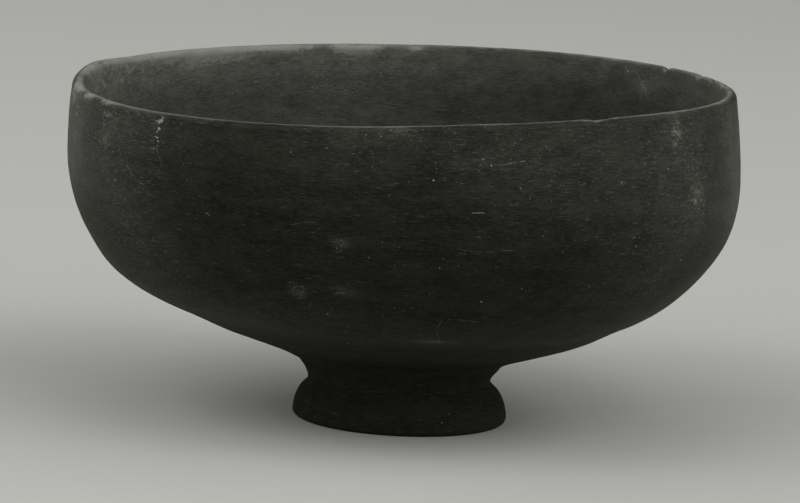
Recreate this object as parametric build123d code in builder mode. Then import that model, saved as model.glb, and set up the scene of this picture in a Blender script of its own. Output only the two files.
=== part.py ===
from build123d import *
from math import asin, atan, cos, degrees, radians, sin, tan
import os

os.makedirs("parts", exist_ok=True)

# A wheel-made table bowl on a low foot ring. Lengths are in millimetres and angles in degrees.
# The table is at level zero, and the turning axis stands upright through the origin.

# Bowl body, outside
widest_diameter = 132.0  # across the belly, where the upright band starts
overall_height = 66.6  # from the table to the lip
band_height = 16.0  # from the widest level up to the lip
band_lean = 1.1  # how far the band has leaned in when it reaches the lip
underside_slope = 22.4  # angle of the sloping underside above the table
neck_diameter = 36.2  # where the bowl meets the foot
neck_lean = 7.0  # how far from upright the bowl already leans out where it meets the foot
neck_fillet = 5.4  # hollow curve from the neck out to the underside

# Bowl body, inside
lip_thickness = 2.4
belly_wall = 3.1
wall_taper = 2.0  # angle at which the wall thickens from the belly down to the floor
floor_thickness = 4.8
floor_dish = 62.0  # radius of the gentle curve between the floor and the wall

# Underside of the floor, within the foot
floor_hollow = 0.7  # how far the turned hollow rises above the seat
button_diameter = 4.4  # button that the turning tool leaves at the centre
button_height = 0.7

# Foot ring
foot_diameter = 42.3
ring_height = 7.2
foot_edge_round = 1.0
shoulder_ledge = 0.3  # how far the ring's top stands out past the neck
rest_width = 3.4  # flat that meets the table
rest_chamfer = 0.8
recess_diameter = 26.0  # mouth of the ring at its top

# Luting slip, and the score marks that it keys into
slip_layer = 0.6
slip_fillet = 1.2  # slip wiped into the corner inside the ring
seam_hollow = 0.15  # how far the outer seam is wiped back
score_count = 3
score_width = 0.9
score_depth = 0.5

# A curve takes at most this share of a straight that it softens
curve_limit_share = 0.95

# Radii and levels that several pieces share
widest_radius = widest_diameter / 2
widest_level = overall_height - band_height
neck_radius = neck_diameter / 2
shoulder_radius = neck_radius + shoulder_ledge
foot_radius = foot_diameter / 2
recess_radius = recess_diameter / 2
hollow_radius = recess_radius - slip_fillet
seat_level = ring_height + slip_layer
ceiling_level = seat_level + floor_hollow
floor_level = ceiling_level + floor_thickness
lip_radius = lip_thickness / 2
lip_centre = Vector(widest_radius - band_lean - lip_radius, overall_height - lip_radius)

# Score marks stand at even spacing across the ring's top, and the bowl's seat has the same
score_spacing = (shoulder_radius - recess_radius) / score_count
score_radii = [recess_radius + score_spacing * (mark + 0.5) for mark in range(score_count)]


def score_marks(level, depth, mode):
    """Draw a V for each score mark, its mouth on the level and its point a depth above it."""
    half_width = score_width / 2
    with Locations(*[(radius, level) for radius in score_radii]):
        Polygon((-half_width, 0), (half_width, 0), (0, depth), align=None, mode=mode)


def tangent_line(left_centre, left_radius, right_centre, right_radius):
    """Draw the line from a circle on its left to a circle on its right, touching both."""
    reach = right_centre - left_centre
    turn = degrees(asin((left_radius + right_radius) / reach.length))
    outward = reach.normalized().rotate(Axis.Z, turn - 90)
    return Line(left_centre + outward * left_radius, right_centre - outward * right_radius)


# Bowl body: thrown on the wheel, turned on the outside when leather hard. The whole piece is
# one revolved half section. Its outside runs up from the seat on the foot to the lip, and its
# inside back down to the middle of the floor.
with BuildPart() as bowl_body:
    with BuildSketch(Plane.XZ):
        with BuildLine():
            # Neck, underside and belly. The belly's radius follows from the straight
            # underside that it continues and the upright band that it ends in.
            neck_way = Vector(sin(radians(neck_lean)), cos(radians(neck_lean)))
            neck_sweep = underside_slope + neck_lean - 90
            neck = JernArc((neck_radius, seat_level), neck_way, neck_fillet, neck_sweep)
            slope_sine = sin(radians(underside_slope))
            slope_cosine = cos(radians(underside_slope))
            belly_radius = (
                (widest_level - (neck @ 1).Y) * slope_cosine
                - (widest_radius - (neck @ 1).X) * slope_sine
            ) / (1 - slope_sine)
            belly_start = (widest_radius, widest_level)
            belly = JernArc(belly_start, (0, -1), belly_radius, underside_slope - 90)
            Line(neck @ 1, belly @ 1)

            # Upright band, an arc that starts upright and runs into the round of the lip
            band_rise = lip_centre.Y - widest_level
            band_reach = widest_radius - lip_centre.X
            band_radius = (band_rise**2 + band_reach**2 - lip_radius**2) / (2 * band_lean)
            band_sweep = degrees(atan(band_rise / (band_radius - band_reach)))
            band = JernArc(belly_start, (0, 1), band_radius, band_sweep)

            # Inside of the band and belly, a wall's thickness in from the outside
            belly_centre = Vector(widest_radius - belly_radius, widest_level)
            inner_radius = belly_radius - belly_wall
            inner_band = tangent_line(belly_centre, inner_radius, lip_centre, lip_radius)
            ThreePointArc(band @ 1, (lip_centre.X, overall_height), inner_band @ 1)
            inner_slope = underside_slope - wall_taper
            inner_way = Vector(sin(radians(inner_slope)), -cos(radians(inner_slope)))
            inner_foot = belly_centre + inner_way * inner_radius
            TangentArc(inner_band @ 0, inner_foot, tangent=-(inner_band % 0))

            # Floor, curved up into the wall, and closed along the turning axis
            floor_reach = inner_foot.X - (inner_foot.Y - floor_level) / tan(radians(inner_slope))
            floor_corner = Vector(floor_reach, floor_level)
            floor_curve = min(
                floor_dish * tan(radians(inner_slope / 2)),
                floor_reach * curve_limit_share,
                (inner_foot - floor_corner).length * curve_limit_share,
            )
            dish_radius = floor_curve / tan(radians(inner_slope / 2))
            floor_start = (floor_reach - floor_curve, floor_level)
            dish = JernArc(floor_start, (1, 0), dish_radius, inner_slope)
            Line(dish @ 1, inner_foot)
            Line(floor_start, (0, floor_level))
            Line((0, floor_level), (0, ceiling_level - button_height))

            # Underside within the foot: a turned hollow with a button at its centre
            button_edge = (button_diameter / 2, ceiling_level)
            hollow_edge = (hollow_radius, seat_level)
            TangentArc((0, ceiling_level - button_height), button_edge, tangent=(1, 0))
            TangentArc(button_edge, hollow_edge, tangent=(1, 0))
            Line(hollow_edge, (neck_radius, seat_level))
        make_face()
        score_marks(seat_level, score_depth, Mode.SUBTRACT)
    revolve(axis=Axis.Z)

# Foot ring: a turned ring with a round shoulder outside, a flat to rest on, and a wall that
# leans in towards the bowl inside.
chamfer_radius = foot_radius - foot_edge_round - rest_width - rest_chamfer
with BuildPart() as foot_ring:
    with BuildSketch(Plane.XZ):
        with BuildLine():
            shoulder = TangentArc(
                (foot_radius, foot_edge_round), (shoulder_radius, ring_height), tangent=(0, 1)
            )
            edge = JernArc(shoulder @ 0, (0, -1), foot_edge_round, -90)
            Polyline(
                edge @ 1,
                (chamfer_radius + rest_chamfer, 0),
                (chamfer_radius, rest_chamfer),
                (recess_radius, ring_height),
                shoulder @ 1,
            )
        make_face()
        score_marks(ring_height, -score_depth, Mode.SUBTRACT)
    revolve(axis=Axis.Z)

# Luting slip: the clay cream that joins the ring to the bowl. It fills the score marks on both
# sides, is wiped back at the outer seam and is wiped to a hollow corner inside the ring.
wall_way = Vector(recess_radius - chamfer_radius, ring_height - rest_chamfer)
slip_toe = Vector(recess_radius, ring_height) - wall_way * (slip_fillet / wall_way.Y)
with BuildPart() as luting_slip:
    with BuildSketch(Plane.XZ):
        with BuildLine():
            SagittaArc((shoulder_radius, ring_height), (neck_radius, seat_level), seam_hollow)
            Line((neck_radius, seat_level), (hollow_radius, seat_level))
            TangentArc(slip_toe, (hollow_radius, seat_level), tangent=wall_way)
            Polyline(slip_toe, (recess_radius, ring_height), (shoulder_radius, ring_height))
        make_face()
        score_marks(seat_level, score_depth, Mode.ADD)
        score_marks(ring_height, -score_depth, Mode.ADD)
    revolve(axis=Axis.Z)

bowl_body.part.label = "bowl_body"
foot_ring.part.label = "foot_ring"
luting_slip.part.label = "luting_slip"
export_step(bowl_body.part, "parts/bowl_body.step")
export_step(foot_ring.part, "parts/foot_ring.step")
export_step(luting_slip.part, "parts/luting_slip.step")
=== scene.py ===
import math

import bpy
import numpy as np
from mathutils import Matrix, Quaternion, Vector, noise


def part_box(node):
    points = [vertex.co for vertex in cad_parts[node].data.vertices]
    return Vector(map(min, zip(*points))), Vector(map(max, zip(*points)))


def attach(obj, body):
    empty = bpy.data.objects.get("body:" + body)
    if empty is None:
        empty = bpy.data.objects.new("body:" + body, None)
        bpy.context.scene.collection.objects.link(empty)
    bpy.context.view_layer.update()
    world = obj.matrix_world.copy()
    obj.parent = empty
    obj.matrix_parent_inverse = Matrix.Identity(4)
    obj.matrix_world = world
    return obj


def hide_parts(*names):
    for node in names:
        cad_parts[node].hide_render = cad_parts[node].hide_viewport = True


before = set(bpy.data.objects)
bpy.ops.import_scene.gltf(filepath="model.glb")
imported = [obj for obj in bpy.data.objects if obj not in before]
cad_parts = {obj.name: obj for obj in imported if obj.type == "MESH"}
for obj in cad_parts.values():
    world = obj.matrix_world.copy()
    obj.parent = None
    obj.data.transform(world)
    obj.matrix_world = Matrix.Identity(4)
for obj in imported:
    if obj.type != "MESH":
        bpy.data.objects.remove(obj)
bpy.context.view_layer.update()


# Camera: a long lens that looks down on the lip a little. The picture was taken out of level,
# so the camera is rolled by as much.
picture_width = 800
picture_height = 503
aim_pixel_x = 404.1  # where the aim shows in the picture
aim_pixel_y = 249.0
pixels_per_metre = 5078  # at the aim
camera_distance = 0.9
camera_elevation = math.radians(8.7)
camera_roll = math.radians(2.85)
camera_aim = Vector((0, 0, 0.0336))

camera = bpy.data.objects.new("camera", bpy.data.cameras.new("camera"))
bpy.context.collection.objects.link(camera)
bpy.context.scene.camera = camera
focal_pixels = pixels_per_metre * camera_distance
camera.data.lens = camera.data.sensor_width * focal_pixels / picture_width
camera.data.shift_x = (picture_width / 2 - aim_pixel_x) / picture_width
camera.data.shift_y = (aim_pixel_y - picture_height / 2) / picture_width
back_way = Vector((0, -math.cos(camera_elevation), math.sin(camera_elevation)))
level_turn = (-back_way).to_track_quat("-Z", "Y")
camera_turn = level_turn @ Quaternion((0, 0, 1), camera_roll)
camera.rotation_euler = camera_turn.to_euler()
camera.location = camera_aim + back_way * camera_distance
bpy.context.scene.view_settings.view_transform = "Standard"


# Table and light: a matt grey card with wide soft boxes on both sides, one high in front, two
# weak ones behind and none low in front. The pot shades its own foot.
card_width = 8.0
card_hex = "#b3b4af"
card_roughness = 0.95
sky_strength = 0.03
box_distance = 2.6
box_width = 2.6
box_lights = (
    # name, degrees round from the front, degrees up, power in watts
    ("left_front_box", -46, 30, 37.0),
    ("left_side_box", -88, 40, 19.0),
    ("right_front_box", 45, 34, 32.0),
    ("right_side_box", 90, 30, 29.5),
    ("high_front_box", 0, 63, 17.0),
    ("back_box", 180, 50, 7.0),
    ("left_back_box", -140, 26, 5.0),
)


def colour(code):
    """Turn an sRGB hex code into the linear colour that a socket takes."""
    shares = [int(code[place:place + 2], 16) / 255 for place in (1, 3, 5)]
    linear = [s / 12.92 if s <= 0.04045 else ((s + 0.055) / 1.055) ** 2.4 for s in shares]
    return (*linear, 1.0)


def add(tree, kind, inputs=(), **settings):
    """Add a node to a tree, and return its first output.

    Its inputs come in the node's own order, or by name where some are passed over. Each is a
    value, or the socket that feeds it. Sockets that the settings put out of use don't count.
    """
    node = tree.nodes.new(kind)
    for name, value in settings.items():
        setattr(node, name, value)
    if isinstance(inputs, dict):
        fed = [(node.inputs[name], value) for name, value in inputs.items()]
    else:
        fed = zip([socket for socket in node.inputs if socket.enabled], inputs)
    for socket, value in fed:
        if isinstance(value, bpy.types.NodeSocket):
            tree.links.new(value, socket)
        else:
            socket.default_value = value
    return next((socket for socket in node.outputs if socket.enabled), None)


def new_material(name):
    """Make a material with an empty tree, and return both."""
    material = bpy.data.materials.new(name)
    material.use_nodes = True
    material.node_tree.nodes.clear()
    return material, material.node_tree


def matt_card():
    """Matt card: a flat, even surface with no shine that takes a soft shadow."""
    material, tree = new_material("matt_card")
    finish = {"Base Color": colour(card_hex), "Roughness": card_roughness}
    add(tree, "ShaderNodeOutputMaterial", (add(tree, "ShaderNodeBsdfPrincipled", finish),))
    return material


card = bpy.data.objects.new("card", bpy.data.meshes.new("card"))
corners = [(x * card_width, y * card_width, 0) for x, y in ((-1, -1), (1, -1), (1, 1), (-1, 1))]
card.data.from_pydata(corners, [], [(0, 1, 2, 3)])
card.data.materials.append(matt_card())
bpy.context.collection.objects.link(card)

world = bpy.data.worlds.new("soft_room")
world.use_nodes = True
world.node_tree.nodes.clear()
sky = add(world.node_tree, "ShaderNodeBackground", ((1, 1, 1, 1), sky_strength))
add(world.node_tree, "ShaderNodeOutputWorld", (sky,))
bpy.context.scene.world = world

for name, round_angle, rise_angle, power in box_lights:
    light = bpy.data.objects.new(name, bpy.data.lights.new(name, "AREA"))
    light.data.shape = "DISK"
    light.data.size = box_width
    light.data.energy = power
    turned, raised = math.radians(round_angle - 90), math.radians(rise_angle)
    light_way = Vector((math.cos(turned), math.sin(turned), math.tan(raised))).normalized()
    light.location = camera_aim + light_way * box_distance
    light.rotation_euler = light_way.to_track_quat("Z", "Y").to_euler()
    light.visible_camera = False
    bpy.context.collection.objects.link(light)


# Bowl body: fine clay thrown on a wheel, turned thin outside when leather hard, then dipped in
# a slip of its finest part, which fires to an eggshell skin. Its sizes follow the solid's.
overall_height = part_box("bowl_body")[1].z
seat_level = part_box("bowl_body")[0].z
widest_radius = 0.066
band_height = 0.016
band_lean = 0.0011
underside_slope = math.radians(22.4)
neck_radius = 0.0181
neck_lean = math.radians(7)
neck_fillet = 0.0054
lip_radius = 0.0012
belly_wall = 0.0031
inner_slope = math.radians(20.4)
floor_thickness = 0.0048
floor_dish = 0.062
floor_hollow = 0.0007
button_radius = 0.0022
button_height = 0.0007

# The joint with the foot, which is scored so that its slip keys in
joint_outer = 0.0184
joint_inner = 0.013
slip_fillet = 0.0012
score_count = 3
score_width = 0.0009
score_depth = 0.0005

# How the turned mesh is finished
lump_detail = 2.0
seam_gap = 0.000001  # what the grid's seam and poles close within
sharp_angle = math.radians(35)  # an edge that bends more than this stays sharp

# How the soft pot moved before it was dry
foot_drift = 0.0006  # the foot was luted off centre
body_drift = -0.0011  # the body stands to the other side of the foot's centre
body_lean = math.radians(-0.62)
body_tilt = math.radians(0.17)
settle_height = 0.014  # height above the seat over which the drift comes in
lean_level = 0.0306
wave_level = 0.0436  # the lip's rise, fall and oval start here
lip_rise_waves = (
    # times round, cosine part, sine part
    (0, -0.00006, 0),
    (1, 0.00217, 0.00082),
    (2, -0.00007, -0.00043),
    (3, -0.00023, 0.0001),
)
lip_lift_side = math.radians(167)  # the lip stands up a little at the back on the left
lip_lift_spread = math.radians(17)
lip_lift = 0.0007
lip_oval = 0.0004
lip_oval_turn = math.radians(12)
side_swells = (
    # degrees round from the right, level, spread up and down, and how far the wall stands out
    (0, 0.0666, 0.023, -0.0009),
    (180, 0.0666, 0.014, 0.0002),
    (0, 0.029, 0.012, -0.00085),
    (180, 0.029, 0.006, 0.0004),
    (180, 0.0225, 0.004, -0.0004),
    (0, 0.0185, 0.0045, 0.0017),
    (180, 0.0147, 0.0045, -0.0011),
    (0, 0.0132, 0.0026, -0.001),
    (180, 0.0107, 0.0028, 0.0004),
    (0, 0.0085, 0.0025, -0.0005),
    (180, 0.0083, 0.0025, 0.0003),
    (180, 0.0068, 0.0014, -0.0004),
)


def section(start, heading, steps):
    """Walk a half section, and return its points, the distance walked and the outward ways.

    A step is a length, no turn and a number of rows for a straight, or a radius, a turn in
    radians, positive to the left, and a number of rows for an arc. With no rows it is a corner.
    """
    place = Vector((start[0], 0, start[1]))
    angle, reach = heading, 0.0
    rows_made = [(place.copy(), reach, angle)]
    for size, turn, rows in steps:
        if not rows:
            angle += turn
        for _ in range(rows):
            bend = turn / rows
            stretch = 2 * size * math.sin(abs(bend) / 2) if turn else size / rows
            angle += bend / 2
            place += stretch * Vector((math.cos(angle), 0, math.sin(angle)))
            reach += stretch
            angle += bend / 2
            rows_made.append((place.copy(), reach, angle))
    places, reaches, angles = zip(*rows_made)
    return places, reaches, [Vector((math.sin(a), 0, -math.cos(a))) for a in angles]


def scored(first_radius, last_radius, side):
    """Steps for the straight across the joint: score marks where side is 1, ridges where -1."""
    slant = math.atan2(score_depth, score_width / 2) * side
    slant_length = math.hypot(score_depth, score_width / 2)
    spacing = (joint_outer - joint_inner) / score_count
    middles = [joint_inner + spacing * (mark + 0.5) for mark in range(score_count)]
    if first_radius > last_radius:
        middles.reverse()
    steps = []
    reached = first_radius
    for middle in middles:
        steps += [
            (abs(middle - reached) - score_width / 2, 0, 1),
            (0, slant, 0),
            (slant_length, 0, 1),
            (0, -2 * slant, 0),
            (slant_length, 0, 1),
            (0, slant, 0),
        ]
        reached = middle + math.copysign(score_width / 2, last_radius - first_radius)
    return steps + [(abs(last_radius - reached), 0, 1)]


def bowl_section():
    """The bowl's half section: under the floor, up the outside and down the inside."""
    ceiling_level = seat_level + floor_hollow
    floor_level = ceiling_level + floor_thickness
    widest_level = overall_height - band_height
    hollow_radius = joint_inner - slip_fillet
    lip_centre = Vector((widest_radius - band_lean - lip_radius, overall_height - lip_radius))
    quarter = math.pi / 2

    # Within the foot: the button, the turned hollow and the seat
    button_bend = 2 * math.atan(button_height / button_radius)
    button_curve = button_radius / math.sin(button_bend)
    hollow_width = hollow_radius - button_radius
    hollow_bend = 2 * math.atan(floor_hollow / hollow_width)
    hollow_curve = hollow_width / math.sin(hollow_bend)

    # Outside: the neck, the straight underside, the belly and the band
    neck_end = Vector((neck_radius, seat_level)) + neck_fillet * Vector(
        (
            math.cos(neck_lean) - math.sin(underside_slope),
            math.cos(underside_slope) - math.sin(neck_lean),
        )
    )
    belly_radius = (
        (widest_level - neck_end.y) * math.cos(underside_slope)
        - (widest_radius - neck_end.x) * math.sin(underside_slope)
    ) / (1 - math.sin(underside_slope))
    belly_centre = Vector((widest_radius - belly_radius, widest_level))
    slope_down = Vector((math.sin(underside_slope), -math.cos(underside_slope)))
    underside_run = (belly_centre + belly_radius * slope_down - neck_end).length
    band_rise = lip_centre.y - widest_level
    band_reach = widest_radius - lip_centre.x
    band_curve = (band_rise**2 + band_reach**2 - lip_radius**2) / (2 * band_lean)
    band_bend = math.atan(band_rise / (band_curve - band_reach))

    # Inside: down the band and belly, along the slope and over the dished floor
    inner_radius = belly_radius - belly_wall
    lip_reach = lip_centre - belly_centre
    band_pull = math.asin((inner_radius + lip_radius) / lip_reach.length)
    band_fall = math.pi + math.atan2(lip_reach.y, lip_reach.x) + band_pull
    inner_run = lip_reach.length * math.cos(band_pull)
    inner_down = Vector((math.sin(inner_slope), -math.cos(inner_slope)))
    inner_foot = belly_centre + inner_radius * inner_down
    floor_reach = inner_foot.x - (inner_foot.y - floor_level) / math.tan(inner_slope)
    dish_run = floor_dish * math.tan(inner_slope / 2)
    slope_run = (inner_foot - Vector((floor_reach, floor_level))).length - dish_run

    steps = [
        (button_curve, button_bend, 4),
        (0, -button_bend, 0),
        (hollow_curve, -hollow_bend, 5),
        (0, hollow_bend, 0),
        *scored(hollow_radius, neck_radius, 1),
        (0, quarter - neck_lean, 0),
        (neck_fillet, underside_slope + neck_lean - quarter, 10),
        (underside_run, 0, 28),
        (belly_radius, quarter - underside_slope, 40),
        (band_curve, band_bend, 15),
        (lip_radius, band_fall - quarter - band_bend, 12),
        (inner_run, 0, 11),
        (inner_radius, math.pi + inner_slope - band_fall, 20),
        (slope_run, 0, 12),
        (floor_dish, -inner_slope, 8),
        (floor_reach - dish_run, 0, 1),
    ]
    return section((0, ceiling_level - button_height), 0.0, steps)


def section_piece(name, places, reaches, ways):
    """Make a half section a line of points that the turning tree can read."""
    mesh = bpy.data.meshes.new(name)
    mesh.from_pydata(places, [(row, row + 1) for row in range(len(places) - 1)], [])
    mesh.attributes.new("reach", "FLOAT", "POINT").data.foreach_set("value", reaches)
    way_values = np.array(ways).ravel()
    mesh.attributes.new("way", "FLOAT_VECTOR", "POINT").data.foreach_set("vector", way_values)
    piece = bpy.data.objects.new(name, mesh)
    bpy.context.collection.objects.link(piece)
    return piece


def new_tree(name, **inputs):
    """Make a mesh tree with named inputs of each kind, and return it with those inputs."""
    tree = bpy.data.node_groups.new(name, "GeometryNodeTree")
    for kind, names in inputs.items():
        for named in names:
            tree.interface.new_socket(named, in_out="INPUT", socket_type="NodeSocket" + kind)
    tree.interface.new_socket("Mesh", in_out="OUTPUT", socket_type="NodeSocketGeometry")
    return tree, add(tree, "NodeGroupInput").node.outputs


def end_tree(tree, mesh, surface):
    """End a mesh tree: make its instances real and clad the whole in a material."""
    real = add(tree, "GeometryNodeRealizeInstances", (mesh,))
    clad = add(tree, "GeometryNodeSetMaterial", {"Geometry": real, "Material": surface})
    add(tree, "NodeGroupOutput", (clad,))
    return tree


def turning_tree():
    """Turn a half section about the wheel's axis, with the rings and lumps that hands leave."""
    tree, given = new_tree(
        "wheel_turning",
        Geometry=("Section",),
        Int=("Steps Round",),
        Float=(
            "Ring Pitch", "Ring Depth", "Lump Width", "Lump Depth", "Bed Level", "Bed Fade", "Seed"
        ),
        Material=("Surface",),
    )
    position = add(tree, "GeometryNodeInputPosition")

    # A grid with a column for each step round and a row for each point of the section. Its
    # seam lies at the back.
    rows = add(tree, "GeometryNodeAttributeDomainSize", (given["Section"],), component="MESH")
    columns = add(tree, "ShaderNodeMath", (given["Steps Round"], 1.0), operation="ADD")
    grid = add(tree, "GeometryNodeMeshGrid", (math.tau, 1.0, columns, rows))
    index = add(tree, "GeometryNodeInputIndex")
    row = add(tree, "ShaderNodeMath", (index, rows), operation="MODULO")
    across = add(tree, "ShaderNodeSeparateXYZ", (position,))
    angle = add(tree, "ShaderNodeMath", (across, math.pi / 2), operation="SUBTRACT")

    # Each row takes its place, its outward way and its reach from the section
    way_read = add(tree, "GeometryNodeInputNamedAttribute", ("way",), data_type="FLOAT_VECTOR")
    turned = []
    for value in (position, way_read):
        found = (given["Section"], value, row)
        sample = add(tree, "GeometryNodeSampleIndex", found, data_type="FLOAT_VECTOR")
        turn = {"Vector": sample, "Angle": angle}
        turned.append(add(tree, "ShaderNodeVectorRotate", turn, rotation_type="Z_AXIS"))
    place, way = turned
    reach_read = add(tree, "GeometryNodeInputNamedAttribute", ("reach",), data_type="FLOAT")
    found = (given["Section"], reach_read, row)
    reach = add(tree, "GeometryNodeSampleIndex", found, data_type="FLOAT")

    # Finger and tool rings climb the wall as one long spiral
    climb = add(tree, "ShaderNodeMath", (reach, given["Ring Pitch"]), operation="DIVIDE")
    phase = add(tree, "ShaderNodeMath", (climb, math.tau, angle), operation="MULTIPLY_ADD")
    wave = add(tree, "ShaderNodeMath", (phase,), operation="SINE")
    rings = add(tree, "ShaderNodeMath", (wave, given["Ring Depth"]), operation="MULTIPLY")

    # Soft lumps, where the wall was pressed and wiped
    fineness = add(tree, "ShaderNodeMath", (1.0, given["Lump Width"]), operation="DIVIDE")
    pattern = (place, given["Seed"], fineness, lump_detail)
    clay = add(tree, "ShaderNodeTexNoise", pattern, noise_dimensions="4D")
    lump = add(tree, "ShaderNodeMath", (clay, 0.5), operation="SUBTRACT")
    lumps = (lump, given["Lump Depth"], rings)
    relief = add(tree, "ShaderNodeMath", lumps, operation="MULTIPLY_ADD")

    # A piece stays true where it beds on another, and its rings die out at the axis
    level = add(tree, "ShaderNodeSeparateXYZ", (place,)).node.outputs["Z"]
    from_bed = add(tree, "ShaderNodeMath", (level, given["Bed Level"]), operation="SUBTRACT")
    bed_distance = add(tree, "ShaderNodeMath", (from_bed,), operation="ABSOLUTE")
    flat_place = add(tree, "ShaderNodeVectorMath", (place, (1, 1, 0)), operation="MULTIPLY")
    radius = add(tree, "ShaderNodeVectorMath", (flat_place,), operation="LENGTH")
    for distance, fade in ((bed_distance, given["Bed Fade"]), (radius, given["Ring Pitch"])):
        share = add(tree, "ShaderNodeMapRange", {"Value": distance, "From Max": fade})
        relief = add(tree, "ShaderNodeMath", (relief, share), operation="MULTIPLY")
    push = add(tree, "ShaderNodeVectorMath", (way, relief), operation="SCALE")
    moved = add(tree, "ShaderNodeVectorMath", (place, push), operation="ADD")

    # Shape the grid, close its seam and poles, and keep only true edges sharp
    shaped = add(tree, "GeometryNodeSetPosition", {"Geometry": grid, "Position": moved})
    marked = add(
        tree,
        "GeometryNodeStoreNamedAttribute",
        {"Geometry": shaped, "Name": "reach", "Value": reach},
        data_type="FLOAT",
        domain="POINT",
    )
    seam = {"Geometry": marked, "Distance": seam_gap}
    closed = add(tree, "GeometryNodeMergeByDistance", seam)
    bend = add(tree, "GeometryNodeInputMeshEdgeAngle")
    soft = add(tree, "ShaderNodeMath", (bend, sharp_angle), operation="LESS_THAN")
    edges = {"Geometry": closed, "Shade Smooth": soft}
    smooth = add(tree, "GeometryNodeSetShadeSmooth", edges, domain="EDGE")
    return end_tree(tree, smooth, given["Surface"])


def grow(piece, tree, inputs):
    """Run a tree on a piece and keep what it makes as the piece's plain mesh."""
    modifier = piece.modifiers.new("tree", "NODES")
    modifier.node_group = tree
    for item in tree.interface.items_tree:
        if item.in_out == "INPUT" and item.name in inputs:
            modifier[item.identifier] = inputs[item.name]
    seen = piece.evaluated_get(bpy.context.evaluated_depsgraph_get())
    mesh = bpy.data.meshes.new_from_object(seen)
    piece.modifiers.clear()
    piece.data = mesh
    mesh.name = piece.name


def ease(share):
    """Rise smoothly from 0 to 1."""
    share = np.clip(share, 0, 1)
    return share * share * (3 - 2 * share)


def read_points(piece):
    """A mesh's points, as rows of three."""
    values = np.empty(len(piece.data.vertices) * 3)
    piece.data.vertices.foreach_get("co", values)
    return values.reshape(-1, 3)


def write_points(piece, points):
    """Put rows of three back as a mesh's points."""
    piece.data.vertices.foreach_set("co", np.ascontiguousarray(points).ravel())
    piece.data.update()


def slump(piece):
    """Move a piece as the soft pot moved: drift, lean, tilt, a wavy oval lip and swollen sides."""
    x, y, z = read_points(piece).T
    angle = np.arctan2(y, x)
    settled = ease((z - seat_level) / settle_height)
    wavy = ease((z - wave_level) / (overall_height - wave_level))
    rise = sum(c * np.cos(n * angle) + s * np.sin(n * angle) for n, c, s in lip_rise_waves)
    rise += lip_lift * ease(1 - np.abs(angle - lip_lift_side) / lip_lift_spread)
    swell = wavy * lip_oval * np.cos(2 * (angle - lip_oval_turn))
    for side, level, spread, amount in side_swells:
        facing = (1 + np.cos(angle - math.radians(side))) / 2
        swell += amount * facing * ease(1 - np.abs(z - level) / spread)
    drift = foot_drift + settled * (body_drift + math.tan(body_lean) * (z - lean_level))
    write_points(
        piece,
        np.column_stack(
            (
                x + drift + swell * np.cos(angle),
                y + swell * np.sin(angle),
                z - settled * math.tan(body_tilt) * x + wavy * rise,
            )
        ),
    )


# Finish of the slip. A reach is a distance along the skin from the lip's top in metres, below
# zero outside and above it inside.
clay_hex = "#82857b"
film_hex = "#73756d"
shine_tint_hex = "#faffe5"
slip_marks = {
    # length and height in metres, and detail
    "stroke": (0.0015, 0.00024, 3.0),
    "band": (0.03, 0.002, 2.0),
    "cloud": (0.022, 0.022, 2.0),
    "mottle": (0.006, 0.003, 3.0),
    "grain": (0.0004, 0.0003, 3.0),
    "dash": (0.0018, 0.00024, 2.0),
    "speck": (0.0007, 0.0006, 1.0),
    "wear": (0.0016, 0.0016, 3.0),
    "flake": (0.0022, 0.0013, 2.0),
}
mark_roughness = 0.6
tone_mixture = {"stroke": 0.35, "grain": 0.25, "mottle": 0.2, "band": 0.1, "cloud": 0.1}
film_mixture = {"mottle": 0.35, "grain": 0.2, "stroke": 0.45}
flake_mixture = {"flake": 0.85, "grain": 0.15}
relief_mixture = {"stroke": 0.6, "grain": 0.4}
skin_changes = {
    # a first and a last reach, and the value at each
    "inside": (0.0, 0.002, 0.0, 1.0),
    "inner_film": (0.002, 0.012, 0.3, 0.19),  # most of it close to the lip
    "band_film_and_painted_light": (-0.03, 0.0, 0.0, 0.025),  # partly real pale film, partly painted light: the band is painted paler than the belly below it, which faces away from the light
    "lower_film": (-0.03, -0.017, 0.029, 0.0),
    "lower_shine": (-0.03, -0.017, 0.65, 1.0),  # the slip ran thin and dull below the band
    "lower_roughness": (-0.03, -0.017, 0.3, 0.0),
    "by_neck": (-0.08, -0.042, 0.35, 1.0),  # film and shine fade towards the neck
    "corner": (-0.101, -0.094, 0.0, 1.0),  # with the next line, painted light: the foot's upper part and the neck above it, which lie in the bowl's shade, are painted paler
    "shaded_corner_painted_light": (-0.08, -0.074, 0.055, 0.0),
}
tone_limits = (0.4, 0.6)  # where the slip is dark, and where it is pale
film_patches = (0.38, 0.62, 0.7, 1.3)  # the film lies thin and thick
# the rubs' film is partly real film and partly painted light, and below zero it is painted shade
rub_film_and_painted_light = 0.1
rub_flakes = 0.1
flake_limits = (0.58, 0.72)
crust_limits = (0.6, 1.4, 0.0, 0.75)  # past a rub of 0.6 the film holds crumbs
rub_chalk = 0.115
chalk_limits = {"dash": (0.62, 0.8, 0.0, 0.4), "speck": (0.76, 0.84, 0.0, 1.0)}
chalk_share = 0.6
lip_wear_reach = 0.0002  # the wear lies a little inside the lip's top
lip_wear_waver = 0.0007
rub_lip_wear = 0.0004
lip_wear_limits = (-0.0004, 0.0007, 0.6, 0.0)
lip_wear_patches = (0.35, 0.6, 0.45, 1.0)
stroke_relief = 0.00006
relief_strength = 0.8
chalk_relief = 0.3
gloss_spread = (0.6, 1.4)  # the dark and the pale slip's share of the shine
bare_roughness = (0.0, 1.0, 0.5, 0.85)  # from clean slip to film or bare clay
sheen_share = 0.08
sheen_roughness = 0.4


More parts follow.
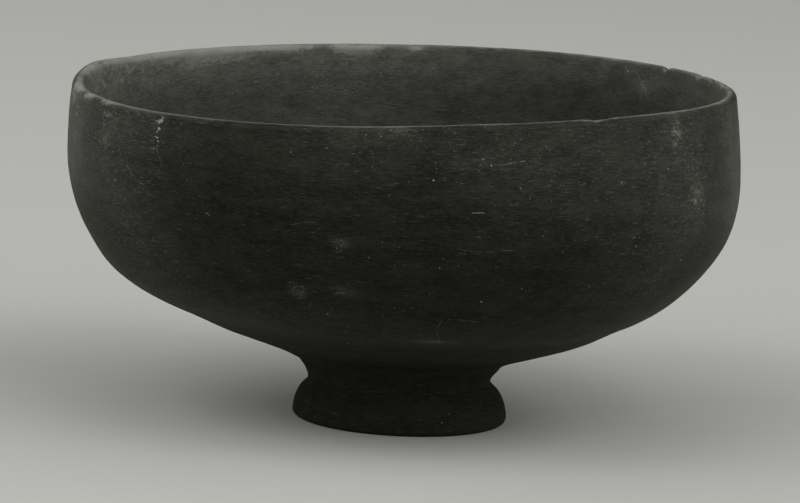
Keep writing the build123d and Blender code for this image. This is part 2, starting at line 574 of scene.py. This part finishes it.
def fired_slip(name, dark_hex, pale_hex, film_share, shine):
    """Fired slip: a fine clay skin laid on in level strokes and fired to a dull sheen.

    Each stroke dries a little darker or paler. Handling rubs it through to the clay at the lip
    and in short level scuffs, and long burial leaves a chalky film, most of it inside. The film's
    pale colour also paints light: on the band, on the neck and foot in the bowl's shade, and at
    some spots, while other spots are painted darker as shade.
    """
    material, tree = new_material(name)
    place = add(tree, "ShaderNodeTexCoord").node.outputs["Object"]
    parts = add(tree, "ShaderNodeSeparateXYZ", (place,)).node.outputs
    reach = add(tree, "ShaderNodeAttribute", attribute_name="reach").node.outputs["Fac"]
    rub = add(tree, "ShaderNodeAttribute", attribute_name="rub").node.outputs["Fac"]
    smooth = {"interpolation_type": "SMOOTHSTEP"}

    # The wheel draws every mark out level, so a pattern runs along the skin by its reach
    skin = add(tree, "ShaderNodeCombineXYZ", (parts["X"], parts["Y"], reach))
    marks = {}
    for mark, (length, height, detail) in slip_marks.items():
        fine = (1 / length, 1 / length, 1 / height)
        stretched = add(tree, "ShaderNodeVectorMath", (skin, fine), operation="MULTIPLY")
        marks[mark] = add(tree, "ShaderNodeTexNoise", (stretched, 1.0, detail, mark_roughness))
    change = {}
    for part, limits in skin_changes.items():
        change[part] = add(tree, "ShaderNodeMapRange", (reach, *limits), **smooth)

    def mixture(weights):
        """Add up some of the patterns, each by its weight."""
        total = 0.0
        for mark, weight in weights.items():
            term = (marks[mark], weight, total)
            total = add(tree, "ShaderNodeMath", term, operation="MULTIPLY_ADD")
        return total

    # Strokes, level bands and clouds of the firing give the slip its uneven tone
    tone = mixture(tone_mixture)
    pale = add(tree, "ShaderNodeMapRange", (tone, *tone_limits), **smooth)
    layers = (pale, colour(dark_hex), colour(pale_hex))
    skin_colour = add(tree, "ShaderNodeMix", layers, data_type="RGBA")

    # Chalky film, in patches, with crumbs where the skin is rubbed most. Some of it is painted
    # light: on the band, on the neck and foot in shade, and at the painted spots
    film = film_share
    for share, weight in (
        (change["inside"], change["inner_film"]),
        (change["band_film_and_painted_light"], 1.0),
        (rub, rub_film_and_painted_light),
        (change["lower_film"], change["by_neck"]),
        (change["corner"], change["shaded_corner_painted_light"]),
    ):
        film = add(tree, "ShaderNodeMath", (share, weight, film), operation="MULTIPLY_ADD")
    patches = (mixture(film_mixture), *film_patches)
    thickness = add(tree, "ShaderNodeMapRange", patches, **smooth)
    film = add(tree, "ShaderNodeMath", (film, thickness), operation="MULTIPLY")
    flaky = (rub, rub_flakes, mixture(flake_mixture))
    flaky = add(tree, "ShaderNodeMath", flaky, operation="MULTIPLY_ADD")
    flakes = add(tree, "ShaderNodeMapRange", (flaky, *flake_limits), **smooth)
    hold = add(tree, "ShaderNodeMapRange", (rub, *crust_limits), **smooth)
    crust = add(tree, "ShaderNodeMath", (flakes, hold), operation="MULTIPLY")
    film = add(tree, "ShaderNodeMath", (film, crust), operation="MAXIMUM")
    layers = (film, skin_colour, colour(film_hex))
    skin_colour = add(tree, "ShaderNodeMix", layers, data_type="RGBA")

    # Scuffs and specks, many where the skin is rubbed
    chalk = 0.0
    for mark, limits in chalk_limits.items():
        exposed = (rub, rub_chalk, marks[mark])
        exposed = add(tree, "ShaderNodeMath", exposed, operation="MULTIPLY_ADD")
        spots = add(tree, "ShaderNodeMapRange", (exposed, *limits), **smooth)
        chalk = add(tree, "ShaderNodeMath", (chalk, spots), operation="MAXIMUM")
    shown = add(tree, "ShaderNodeMath", (chalk, chalk_share), operation="MULTIPLY")
    layers = (shown, skin_colour, colour(film_hex))
    skin_colour = add(tree, "ShaderNodeMix", layers, data_type="RGBA")

    # The lip is worn to the clay along its top
    off_wear = add(tree, "ShaderNodeMath", (reach, lip_wear_reach), operation="SUBTRACT")
    edge = add(tree, "ShaderNodeMath", (off_wear,), operation="ABSOLUTE")
    for cause, depth in ((marks["wear"], lip_wear_waver), (rub, rub_lip_wear)):
        edge = add(tree, "ShaderNodeMath", (cause, -depth, edge), operation="MULTIPLY_ADD")
    worn = add(tree, "ShaderNodeMapRange", (edge, *lip_wear_limits), **smooth)
    patchy = add(tree, "ShaderNodeMapRange", (marks["mottle"], *lip_wear_patches), **smooth)
    worn = add(tree, "ShaderNodeMath", (worn, patchy), operation="MULTIPLY")
    layers = (worn, skin_colour, colour(clay_hex))
    skin_colour = add(tree, "ShaderNodeMix", layers, data_type="RGBA")

    # The strokes stand a little proud, and film and bare clay are dull
    relief = (chalk, chalk_relief, mixture(relief_mixture))
    relief = add(tree, "ShaderNodeMath", relief, operation="MULTIPLY_ADD")
    bump = {"Strength": relief_strength, "Distance": stroke_relief, "Height": relief}
    bare = add(tree, "ShaderNodeMath", (worn, chalk), operation="MAXIMUM")
    bare = add(tree, "ShaderNodeMath", (bare, film), operation="ADD")
    rough = add(tree, "ShaderNodeMapRange", (bare, *bare_roughness), **smooth)
    rough = add(tree, "ShaderNodeMath", (rough, change["lower_roughness"]), operation="ADD")
    lower = (change["lower_shine"], change["by_neck"])
    lower = add(tree, "ShaderNodeMath", lower, operation="MULTIPLY")
    gloss = (tone, *tone_limits, gloss_spread[0] * shine, gloss_spread[1] * shine)
    gloss = add(tree, "ShaderNodeMapRange", gloss, **smooth)
    finish = {
        "Base Color": skin_colour,
        "Roughness": rough,
        "Specular IOR Level": add(tree, "ShaderNodeMath", (gloss, lower), operation="MULTIPLY"),
        "Specular Tint": colour(shine_tint_hex),
        "Sheen Weight": add(tree, "ShaderNodeMath", (lower, sheen_share), operation="MULTIPLY"),
        "Sheen Roughness": sheen_roughness,
        "Sheen Tint": colour(shine_tint_hex),
        "Normal": add(tree, "ShaderNodeBump", bump),
    }
    add(tree, "ShaderNodeOutputMaterial", (add(tree, "ShaderNodeBsdfPrincipled", finish),))
    return material


turning = turning_tree()
places, reaches, ways = bowl_section()
lip_row = max(range(len(places)), key=lambda row: places[row].z)
reaches_from_lip = [reach - reaches[lip_row] for reach in reaches]
bowl = section_piece("bowl_wall", places, reaches_from_lip, ways)
grow(
    bowl,
    turning,
    {
        "Steps Round": 560,
        "Ring Pitch": 0.0037,
        "Ring Depth": 0.00001,
        "Lump Width": 0.02,
        "Lump Depth": 0.0004,
        "Bed Level": seat_level,
        "Bed Fade": 0.004,
        "Seed": 3.0,
        "Surface": fired_slip("fired_slip", "#070705", "#13140f", film_share=0.006, shine=0.115),
    },
)
slump(bowl)

# Knocks on the lip that show in the picture, each by its pixel
lip_chips = (
    # pixel x, pixel y, half width and depth in metres
    (602, 120, 0.005, 0.0004),
    (664, 69, 0.0016, 0.0009),
    (697, 78, 0.0022, 0.0006),
    (709, 83, 0.0016, 0.0005),
    (720, 88, 0.0016, 0.0005),
)
chip_reach = 0.0036  # through the lip and down it
chip_grain = 0.0008
chip_roughness = 0.6
chip_raggedness = 1 / 3  # how much of it shows in a chip's outline


def touch(piece, pixel_x, pixel_y):
    """The place and outward way where a pixel of the picture meets a piece."""
    aside = (pixel_x - aim_pixel_x) / focal_pixels
    upward = (aim_pixel_y - pixel_y) / focal_pixels
    sight = camera_turn @ Vector((aside, upward, -1)).normalized()
    met, place, way, _ = piece.ray_cast(camera.location, sight)
    if not met:
        raise ValueError(f"the pixel {pixel_x}, {pixel_y} misses {piece.name}")
    return place, way


def chip(piece, pixel_x, pixel_y, half_width, depth):
    """Knock a ragged chip down into the lip, through its whole thickness."""
    place, _ = touch(piece, pixel_x, pixel_y)
    points = read_points(piece)
    offset = points - np.array(place)
    along = offset @ np.array(Vector((-place.y, place.x, 0)).normalized())
    aside = np.sqrt(np.maximum((offset**2).sum(axis=1) - along**2, 0))
    distance = np.hypot(along / half_width, aside / chip_reach)
    for row in np.flatnonzero(distance < 1):
        rough = noise.noise(Vector(points[row]) / chip_grain) * chip_roughness
        inward = 1 - distance[row] + rough * chip_raggedness
        points[row][2] -= depth * ease(inward) * (1 + rough)
    write_points(piece, points)


def rub_and_paint_light(piece, rub_and_light_spots):
    """Store how far the skin is rubbed or crusted round each of some pixels of the picture,
    together with the light and shade painted there.
    """
    points = read_points(piece)
    outward = np.empty(points.size)
    piece.data.vertex_normals.foreach_get("vector", outward)
    outward = outward.reshape(-1, 3)
    rubbed_and_painted_light = np.zeros(len(points))
    for pixel_x, pixel_y, half_width, half_height, strength in rub_and_light_spots:
        place, way = touch(piece, pixel_x, pixel_y)
        across = Vector((-place.y, place.x, 0)).normalized()
        along = way.cross(across)
        offset = points - np.array(place)
        spread = (offset @ np.array(across) / half_width) ** 2
        spread += (offset @ np.array(along) / half_height) ** 2
        spread += (offset @ np.array(way) / half_width) ** 2
        rubbed_and_painted_light += strength * np.exp(-spread) * (outward @ np.array(way) > 0)
    piece.data.attributes.new("rub", "FLOAT", "POINT").data.foreach_set("value", rubbed_and_painted_light)


# Where hands and soil have rubbed or crusted the skin, and where light and shade are painted:
# pixel x, pixel y, half width and half height in metres, and strength. The skin carries crumbs
# above 0.6, and is darker below zero. The pale spots at the left and right edges and inside on the
# left are partly painted highlight, and the darker spots outside and inside are painted shade.
outside_rubs_and_painted_light = (
    (155, 128, 0.002, 0.004, 0.3),
    (106, 168, 0.014, 0.02, 0.6),
    (106, 130, 0.004, 0.008, 0.25),
    (76, 122, 0.007, 0.014, 0.9),
    (72, 96, 0.004, 0.004, 0.6),
    (140, 118, 0.02, 0.007, 0.4),
    (731, 140, 0.007, 0.018, 0.9),
    (676, 130, 0.0015, 0.004, 0.6),
    (690, 132, 0.01, 0.008, 0.25),
    (680, 150, 0.01, 0.012, 0.35),
    (700, 200, 0.008, 0.01, 0.35),
    (700, 200, 0.003, 0.004, 0.5),
    (655, 268, 0.014, 0.014, 0.4),
    (640, 170, 0.018, 0.014, 0.15),
    (560, 165, 0.02, 0.011, 0.35),
    (490, 164, 0.008, 0.0015, 0.35),
    (395, 133, 0.003, 0.0012, 0.8),
    (400, 142, 0.02, 0.004, 0.25),
    (345, 132, 0.008, 0.012, 0.3),
    (342, 243, 0.0018, 0.0009, 1.3),
    (345, 292, 0.0022, 0.0013, 0.9),
    (299, 293, 0.0016, 0.0016, 0.9),
    (433, 342, 0.0035, 0.0012, 1.3),
    (225, 314, 0.024, 0.006, 0.4),
    (150, 250, 0.012, 0.01, 0.35),
    (240, 165, 0.012, 0.012, -0.25),
)
lip_rubs = (
    (109, 102, 0.003, 0.0006, 1.0),
    (90, 95, 0.002, 0.0009, 1.8),
    (79, 88, 0.003, 0.0012, 1.5),
    (80, 84, 0.004, 0.002, 1.3),
    (96, 69, 0.01, 0.0014, 1.3),
    (130, 59, 0.009, 0.0012, 1.7),
    (170, 54, 0.008, 0.0012, 2.0),
    (197, 53, 0.004, 0.0022, 2.6),
    (225, 51, 0.006, 0.002, 2.6),
    (262, 48, 0.009, 0.0008, 2.2),
    (290, 48, 0.004, 0.0009, 2.4),
    (348, 50, 0.003, 0.0012, 2.4),
    (370, 48, 0.003, 0.0008, 1.8),
    (415, 49, 0.002, 0.0006, 1.6),
    (733, 99, 0.006, 0.004, -0.6),
)
inside_rubs_and_painted_light = (
    (94, 92, 0.006, 0.006, 0.8),
    (110, 84, 0.014, 0.008, 1.0),
    (160, 66, 0.014, 0.005, 0.7),
    (220, 72, 0.025, 0.01, 0.35),
    (276, 113, 0.003, 0.0015, 0.9),
    (340, 98, 0.01, 0.006, 0.5),
    (350, 62, 0.03, 0.006, 0.3),
    (385, 60, 0.02, 0.004, 0.45),
    (600, 60, 0.015, 0.004, 0.5),
    (640, 80, 0.004, 0.006, 0.15),
    (643, 86, 0.001, 0.0016, 1.4),
    (590, 88, 0.022, 0.01, -0.5),
    (545, 98, 0.03, 0.012, -0.45),
)

bpy.context.view_layer.update()
for pixel_x, pixel_y, half_width, depth in lip_chips:
    chip(bowl, pixel_x, pixel_y, half_width, depth)
rub_and_paint_light(bowl, outside_rubs_and_painted_light + lip_rubs + inside_rubs_and_painted_light)
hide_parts("bowl_body")
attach(bowl, "root")


# Foot ring: a ring of the same clay, turned with a round shoulder and a flat to stand on, and
# slipped with the bowl. It was luted on a little off centre.
ring_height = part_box("foot_ring")[1].z
foot_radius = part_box("foot_ring")[1].x
foot_edge_round = 0.001
rest_width = 0.0034
rest_chamfer = 0.0008


def foot_section():
    """The ring's half section: up the shoulder, in across the joint, down and out again."""
    rest_outer = foot_radius - foot_edge_round
    chamfer_radius = rest_outer - rest_width - rest_chamfer
    shoulder_in = foot_radius - joint_outer
    shoulder_up = ring_height - foot_edge_round
    shoulder_bend = 2 * math.atan(shoulder_in / shoulder_up)
    shoulder_curve = math.hypot(shoulder_in, shoulder_up) / (2 * math.sin(shoulder_bend / 2))
    wall_in = chamfer_radius - joint_inner
    wall_down = ring_height - rest_chamfer
    wall_turn = math.pi - math.atan2(wall_down, wall_in)
    eighth = math.pi / 4
    steps = [
        (shoulder_curve, shoulder_bend, 10),
        (0, math.pi / 2 - shoulder_bend, 0),
        *scored(joint_outer, joint_inner, 1),
        (0, wall_turn, 0),
        (math.hypot(wall_in, wall_down), 0, 6),
        (0, math.pi - wall_turn - eighth, 0),
        (rest_chamfer * math.sqrt(2), 0, 2),
        (0, eighth, 0),
        (rest_width, 0, 3),
        (foot_edge_round, math.pi / 2, 6),
    ]
    return section((foot_radius, foot_edge_round), math.pi / 2, steps)


def reach_by_level(places):
    """Carry the bowl's reach on down a piece under it, by each place's level."""
    return [reaches_from_lip[0] + place.z for place in places]


places, _, ways = foot_section()
foot = section_piece("foot", places, reach_by_level(places), ways)
grow(
    foot,
    turning,
    {
        "Steps Round": 300,
        "Ring Pitch": 0.0021,
        "Ring Depth": 0.00001,
        "Lump Width": 0.012,
        "Lump Depth": 0.0003,
        "Bed Level": 0.0,
        "Bed Fade": 0.002,
        "Seed": 8.0,
        # The foot's slip is painted paler than the bowl's, to lift the shade that the bowl casts
        # over the foot
        "Surface": fired_slip(
            "fired_foot_slip", "#191915", "#23231e", film_share=0.004, shine=0.03
        ),
    },
)
slump(foot)
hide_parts("foot_ring")
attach(foot, "root")


# Luting slip: clay let down to a cream, which holds the foot on. It fills the score marks, and
# what squeezed out was wiped round the neck with a finger.
seam_bulge = 0.0001


def slip_section():
    """The slip's half section: up the seam, in over the seat, down the corner and out."""
    seam_in = joint_outer - neck_radius
    seam_up = seat_level - ring_height
    seam_heading = math.atan2(seam_up, -seam_in)
    seam_length = math.hypot(seam_in, seam_up)
    seam_bend = 4 * math.atan(2 * seam_bulge / seam_length)
    seam_curve = seam_length / (2 * math.sin(seam_bend / 2))
    hollow_radius = joint_inner - slip_fillet
    wall_slope = math.atan2(
        ring_height - rest_chamfer,
        foot_radius - foot_edge_round - rest_width - rest_chamfer - joint_inner,
    )
    toe = Vector((joint_inner, ring_height)) + slip_fillet * Vector((1 / math.tan(wall_slope), -1))
    corner = toe - Vector((hollow_radius, seat_level))
    corner_slope = math.atan2(-corner.y, corner.x)
    corner_bend = 2 * (wall_slope - corner_slope)
    corner_curve = corner.length / (2 * math.sin(corner_bend / 2))
    steps = [
        (seam_curve, seam_bend, 6),
        (0, math.pi - seam_heading - seam_bend / 2, 0),
        *scored(neck_radius, hollow_radius, -1),
        (0, math.pi - corner_slope + corner_bend / 2, 0),
        (corner_curve, -corner_bend, 6),
        (0, math.pi, 0),
        ((toe - Vector((joint_inner, ring_height))).length, 0, 2),
        (0, -(math.pi - wall_slope), 0),
        *scored(joint_inner, joint_outer, -1),
    ]
    return section((joint_outer, ring_height), seam_heading - seam_bend / 2, steps)


places, _, ways = slip_section()
luting = section_piece("luting", places, reach_by_level(places), ways)
grow(
    luting,
    turning,
    {
        "Steps Round": 300,
        "Ring Pitch": 0.0021,
        "Ring Depth": 0.0,
        "Lump Width": 0.003,
        "Lump Depth": 0.0,
        "Bed Level": 0.0,
        "Bed Fade": 0.001,
        "Seed": 5.0,
        # Its slip is painted paler than the bowl's, to lift the shade in the crease between the
        # neck and the foot
        "Surface": fired_slip("fired_luting", "#12120f", "#1c1c18", film_share=0.01, shine=0.04),
    },
)
slump(luting)
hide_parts("luting_slip")
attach(luting, "root")


# Lime: chalky grains that settled out of wet soil while the bowl lay buried. They sit on the
# slip as thin crusts, thick in a few runs and patches and scattered over the rest.
grain_width = 0.0004
grain_detail = 2.0
grain_draws = {
    # the least and the most of each that a grain can draw
    "throw": ((-1, -1, -1), (1, 1, 1)),
    "spin": ((0, 0, 0), (0, 0, math.tau)),
    "scale": ((0.5, 0.4, 0.6), (1.4, 1.1, 1.2)),
}
grain_lumps = {"Scale": 1.8, "Detail": 3.0}
lime_runs = (
    # spread and size in metres, then the pixels that the run passes
    (0.0003, 0.0009, ((162, 121), (160, 122))),
    (0.0004, 0.0004, ((158, 121), (164, 117))),
    (0.0003, 0.0008, ((158, 129), (159, 130))),
    (0.0004, 0.0004, ((157, 133), (157, 140))),
    (0.0009, 0.00025, ((157, 140), (153, 152))),
    (0.0009, 0.0002, ((673, 122), (675, 130), (678, 138))),
    (0.0016, 0.00016, ((697, 194), (704, 204))),
    (0.0003, 0.0003, ((625, 69), (629, 71))),
    (0.0003, 0.00025, ((641, 81), (646, 92))),
    (0.0001, 0.0004, ((433, 181), (434, 181))),
    (0.0001, 0.00025, ((291, 152), (292, 153))),
    (0.0001, 0.00035, ((491, 166), (492, 166))),
    (0.0001, 0.0002, ((206, 213), (209, 215))),
    (0.0001, 0.0002, ((459, 72), (460, 73))),
    (0.0001, 0.0004, ((481, 302), (482, 302))),
    (0.0001, 0.0003, ((327, 314), (328, 314))),
    (0.0001, 0.0004, ((348, 343), (349, 343))),
    (0.0001, 0.0002, ((440, 268), (441, 268))),
    (0.0001, 0.0002, ((430, 294), (431, 295))),
    (0.0001, 0.0002, ((589, 286), (590, 287))),
)


def grainy(name, dark_hex, pale_hex, roughness, gloss):
    """A matt mineral in fine grains of two tones, which are drawn coarse enough to show."""
    material, tree = new_material(name)
    place = add(tree, "ShaderNodeTexCoord").node.outputs["Object"]
    grains = add(tree, "ShaderNodeTexNoise", (place, 1 / grain_width, grain_detail))
    tints = (grains, colour(dark_hex), colour(pale_hex))
    tint = add(tree, "ShaderNodeMix", tints, data_type="RGBA")
    finish = {"Base Color": tint, "Roughness": roughness, "Specular IOR Level": gloss}
    add(tree, "ShaderNodeOutputMaterial", (add(tree, "ShaderNodeBsdfPrincipled", finish),))
    return material


def crust_tree():
    """Set small flat lumps along runs on a body, and scatter smaller ones over all of it."""
    tree, given = new_tree(
        "lime_crust",
        Geometry=("Runs",),
        Object=("Body",),
        Float=("Grain Spacing", "Scatter Density", "Scatter Size", "Crust Density", "Flatness"),
        Int=("Seed",),
        Material=("Surface",),
    )
    seen = add(tree, "GeometryNodeObjectInfo", (given["Body"],), transform_space="RELATIVE")
    body = seen.node.outputs["Geometry"]
    read = {}
    for name in ("spread", "rub", "size"):
        read[name] = add(tree, "GeometryNodeInputNamedAttribute", (name,), data_type="FLOAT")
    drawn = {}
    for name, (low, high) in grain_draws.items():
        draw = {"Min": low, "Max": high, "Seed": given["Seed"]}
        drawn[name] = add(tree, "FunctionNodeRandomValue", draw, data_type="FLOAT_VECTOR")

    # Grains along each run, thrown aside by its spread
    curves = add(tree, "GeometryNodeMeshToCurve", (given["Runs"],))
    spaced = (curves, given["Grain Spacing"])
    along = add(tree, "GeometryNodeCurveToPoints", spaced, mode="LENGTH")
    throw = (drawn["throw"], read["spread"])
    aside = add(tree, "ShaderNodeVectorMath", throw, operation="SCALE")
    thrown = add(tree, "GeometryNodeSetPosition", {"Geometry": along, "Offset": aside})

    # Finer grains anywhere on the body, thick where the skin is rubbed
    densities = (read["rub"], given["Crust Density"], given["Scatter Density"])
    density = add(tree, "ShaderNodeMath", densities, operation="MULTIPLY_ADD")
    scatter = {"Mesh": body, "Density": density, "Seed": given["Seed"]}
    scattered = add(tree, "GeometryNodeDistributePointsOnFaces", scatter)
    sized = add(
        tree,
        "GeometryNodeStoreNamedAttribute",
        {"Geometry": scattered, "Name": "size", "Value": given["Scatter Size"]},
        data_type="FLOAT",
        domain="POINT",
    )
    every = add(tree, "GeometryNodeJoinGeometry")
    tree.links.new(thrown, every.node.inputs[0])
    tree.links.new(sized, every.node.inputs[0])

    # Each grain sits on the skin, flat side down
    skin = add(tree, "GeometryNodeProximity", (body,), target_element="FACES")
    seated = add(tree, "GeometryNodeSetPosition", {"Geometry": every, "Position": skin})
    facing = (body, add(tree, "GeometryNodeInputNormal"))
    way = add(tree, "GeometryNodeSampleNearestSurface", facing, data_type="FLOAT_VECTOR")
    upright = add(tree, "FunctionNodeAlignRotationToVector", {"Vector": way}, axis="Z")
    spin = add(tree, "FunctionNodeEulerToRotation", (drawn["spin"],))
    turned = add(tree, "FunctionNodeRotateRotation", (upright, spin), rotation_space="LOCAL")
    scale = add(tree, "ShaderNodeVectorMath", (drawn["scale"], read["size"]), operation="SCALE")
    flat = add(tree, "ShaderNodeCombineXYZ", (1.0, 1.0, given["Flatness"]))
    flat_scale = add(tree, "ShaderNodeVectorMath", (scale, flat), operation="MULTIPLY")

    # The grain itself: a ball with few faces, pushed out of round
    ball = add(tree, "GeometryNodeMeshIcoSphere", {"Radius": 0.5, "Subdivisions": 1})
    lumpy = add(tree, "ShaderNodeTexNoise", grain_lumps).node.outputs["Color"]
    push = add(tree, "ShaderNodeVectorMath", (lumpy, (0.5, 0.5, 0.5)), operation="SUBTRACT")
    grain = add(tree, "GeometryNodeSetPosition", {"Geometry": ball, "Offset": push})
    smooth = add(tree, "GeometryNodeSetShadeSmooth", (grain,))
    set_out = {"Points": seated, "Instance": smooth, "Rotation": turned, "Scale": flat_scale}
    grains = add(tree, "GeometryNodeInstanceOnPoints", set_out)
    return end_tree(tree, grains, given["Surface"])


def run_lines(name, body, runs):
    """Make a mesh of lines that pass over a body through the pixels of each run."""
    places, edges, values = [], [], []
    for *facts, pixels in runs:
        for step, (pixel_x, pixel_y) in enumerate(pixels):
            if step:
                edges.append((len(places) - 1, len(places)))
            places.append(touch(body, pixel_x, pixel_y)[0])
            values.append(facts)
    mesh = bpy.data.meshes.new(name)
    mesh.from_pydata(places, edges, [])
    lines = bpy.data.objects.new(name, mesh)
    bpy.context.collection.objects.link(lines)
    return lines, list(zip(*values))


bpy.context.view_layer.update()
lime, (spreads, sizes) = run_lines("lime", bowl, lime_runs)
lime.data.attributes.new("spread", "FLOAT", "POINT").data.foreach_set("value", spreads)
lime.data.attributes.new("size", "FLOAT", "POINT").data.foreach_set("value", sizes)
grow(
    lime,
    crust_tree(),
    {
        "Body": bowl,
        "Grain Spacing": 0.00035,
        "Scatter Density": 6000.0,
        "Crust Density": 200000.0,
        "Scatter Size": 0.00016,
        "Flatness": 0.25,
        "Seed": 11,
        # Lime crust: chalk with some of the soil in it, dead matt against the slip's sheen
        "Surface": grainy("chalky_lime", "#6f7066", "#8c8e85", roughness=0.9, gloss=0.2),
    },
)
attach(lime, "root")


# Hairline scratches: a hard point dragged over the fired slip leaves a fine pale burr, which
# stands a little proud of the skin.
scratch_runs = (
    # half width in metres, then the pixels that the scratch passes
    (0.00005, ((156, 146), (161, 163), (159, 171), (153, 178), (147, 182), (143, 184), (138, 181),
               (133, 176), (129, 169), (126, 164))),
    (0.00003, ((442, 320), (437, 330), (439, 339), (442, 350))),
    (0.000025, ((446, 319), (460, 320), (480, 322))),
    (0.00002, ((460, 250), (485, 252), (515, 250))),
    (0.000035, ((459, 253), (467, 254))),
    (0.00002, ((290, 225), (302, 223), (315, 222))),
    (0.00011, ((472, 213), (478, 213), (484, 213))),
    (0.00009, ((499, 165), (512, 163), (525, 161))),
    (0.00005, ((634, 71), (638, 75), (642, 83), (650, 95))),
    (0.00004, ((292, 295), (294, 288), (299, 286), (304, 288), (302, 293))),
    (0.00003, ((306, 292), (304, 299), (298, 298))),
)
burr_waver = (0.4, 0.65, 0.1)  # two limits of a pattern, and the least share of the width


def scratch_tree():
    """Draw a fine burr along lines on a body, as smooth curves with an uneven width."""
    tree, given = new_tree(
        "scratch_burr",
        Geometry=("Runs",),
        Object=("Body",),
        Float=("Step", "Waver"),
        Material=("Surface",),
    )
    seen = add(tree, "GeometryNodeObjectInfo", (given["Body"],), transform_space="RELATIVE")
    lines = add(tree, "GeometryNodeMeshToCurve", (given["Runs"],))
    curves = add(tree, "GeometryNodeCurveSplineType", (lines,), spline_type="CATMULL_ROM")
    steps = {"Curve": curves, "Length": given["Step"]}
    stepped = add(tree, "GeometryNodeResampleCurve", steps, mode="LENGTH")
    body = (seen.node.outputs["Geometry"],)
    skin = add(tree, "GeometryNodeProximity", body, target_element="FACES")
    seated = add(tree, "GeometryNodeSetPosition", {"Geometry": stepped, "Position": skin})
    widths = add(tree, "GeometryNodeInputNamedAttribute", ("half_width",), data_type="FLOAT")
    fineness = add(tree, "ShaderNodeMath", (1.0, given["Waver"]), operation="DIVIDE")
    uneven = add(tree, "ShaderNodeTexNoise", {"Scale": fineness, "Detail": 1.0})
    waver = add(tree, "ShaderNodeMapRange", (uneven, *burr_waver))
    radius = add(tree, "ShaderNodeMath", (widths, waver), operation="MULTIPLY")
    ring = add(tree, "GeometryNodeCurvePrimitiveCircle", {"Resolution": 6, "Radius": 1.0})
    burr = add(tree, "GeometryNodeCurveToMesh", (seated, ring, radius, True))
    return end_tree(tree, burr, given["Surface"])


scratches, (half_widths,) = run_lines("scratches", bowl, scratch_runs)
width_values = scratches.data.attributes.new("half_width", "FLOAT", "POINT").data
width_values.foreach_set("value", half_widths)
grow(
    scratches,
    scratch_tree(),
    {
        "Body": bowl,
        "Step": 0.0003,
        "Waver": 0.0012,
        # Bare clay: where the slip is scratched off, paler and rougher than the skin
        "Surface": grainy("bare_clay", "#4a4843", clay_hex, roughness=0.85, gloss=0.3),
    },
)
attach(scratches, "root")
